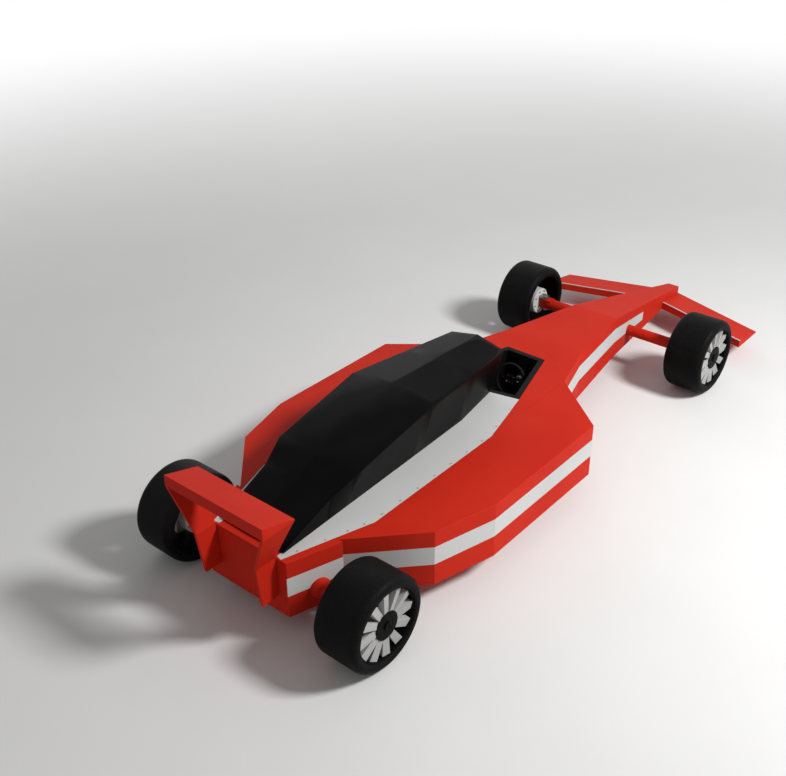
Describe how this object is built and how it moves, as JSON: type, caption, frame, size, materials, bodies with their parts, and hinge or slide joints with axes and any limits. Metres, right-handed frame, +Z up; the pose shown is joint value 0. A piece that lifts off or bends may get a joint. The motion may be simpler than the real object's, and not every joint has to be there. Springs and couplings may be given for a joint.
{
  "type": "open wheel racing car",
  "caption": "Single-seat open wheel racing car with wedge wings front and rear, faceted body, open cockpit, black engine cover and wheels on bare axles.",
  "frame": {"origin": "on the ground below the middle of the car's length and width", "axes": "+X towards the nose, +Y to the driver's left, +Z up"},
  "size_m": [5.026, 1.735, 0.916],
  "materials": {
    "red_paint": "gloss red paint",
    "white_paint": "satin white paint",
    "black_gloss": "gloss black",
    "black_matte": "matt black",
    "tyre": "smooth black rubber",
    "rim_black": "satin black paint",
    "spoke_white": "satin white paint",
    "steel": "turned steel",
    "engine": "cast aluminium",
    "seat_fabric": "dark padded cloth"
  },
  "bodies": {
    "chassis": {"undertray": "red_paint", "survival_cell": "red_paint", "nose_cone": "red_paint", "sidepod_left": "red_paint", "sidepod_right": "red_paint", "gearbox_case": "red_paint", "engine_block": "engine", "engine_cover": "black_gloss", "deck_panels": "white_paint", "sidepod_stripe_left": "white_paint", "sidepod_stripe_right": "white_paint", "nose_stripes": "white_paint", "gearbox_stripes": "white_paint", "front_wing": "red_paint", "front_wing_stripes": "white_paint", "rear_wing": "red_paint", "rear_endplates": "red_paint", "front_axles": "red_paint", "rear_axles": "red_paint", "cockpit_tub": "black_matte", "seat": "seat_fabric", "steering_column": "steel", "drum_rear_right": "white_paint", "drum_rear_left": "white_paint"},
    "steer_front_right": {"knuckle_front_right": "steel", "drum_front_right": "white_paint"},
    "steer_front_left": {"knuckle_front_left": "steel", "drum_front_left": "white_paint"},
    "wheel_front_right": {"tyre_front_right": "tyre", "rim_front_right": "rim_black", "spokes_front_right": "spoke_white", "hub_disc_front_right": "rim_black"},
    "wheel_front_left": {"tyre_front_left": "tyre", "rim_front_left": "rim_black", "spokes_front_left": "spoke_white", "hub_disc_front_left": "rim_black"},
    "wheel_rear_right": {"tyre_rear_right": "tyre", "rim_rear_right": "rim_black", "spokes_rear_right": "spoke_white", "hub_disc_rear_right": "rim_black"},
    "wheel_rear_left": {"tyre_rear_left": "tyre", "rim_rear_left": "rim_black", "spokes_rear_left": "spoke_white", "hub_disc_rear_left": "rim_black"},
    "steering_wheel": {"steering_wheel": "black_matte"}
  },
  "joints": [
    {"name": "steer_front_right", "type": "hinge", "parent": "chassis", "child": "steer_front_right", "pos_m": [1.457, -0.5825, 0.275], "axis": [0, 0, 1], "range_deg": [-20, 20]},
    {"name": "steer_front_left", "type": "hinge", "parent": "chassis", "child": "steer_front_left", "pos_m": [1.457, 0.5825, 0.275], "axis": [0, 0, 1], "range_deg": [-20, 20]},
    {"name": "spin_front_right", "type": "hinge", "parent": "steer_front_right", "child": "wheel_front_right", "pos_m": [1.457, -0.725, 0.275], "axis": [0, 1, 0], "continuous": true},
    {"name": "spin_front_left", "type": "hinge", "parent": "steer_front_left", "child": "wheel_front_left", "pos_m": [1.457, 0.725, 0.275], "axis": [0, 1, 0], "continuous": true},
    {"name": "spin_rear_right", "type": "hinge", "parent": "chassis", "child": "wheel_rear_right", "pos_m": [-2.143, -0.69, 0.275], "axis": [0, 1, 0], "continuous": true},
    {"name": "spin_rear_left", "type": "hinge", "parent": "chassis", "child": "wheel_rear_left", "pos_m": [-2.143, 0.69, 0.275], "axis": [0, 1, 0], "continuous": true},
    {"name": "steering_wheel_turn", "type": "hinge", "parent": "chassis", "child": "steering_wheel", "pos_m": [0.118, 0, 0.385], "axis": [-0.9397, 0, 0.342], "range_deg": [-240, 240]}
  ],
  "couplings": [
    {"joint": "steer_front_left", "follows": "steer_front_right", "ratio": 1},
    {"joint": "steering_wheel_turn", "follows": "steer_front_right", "ratio": 12}
  ]
}
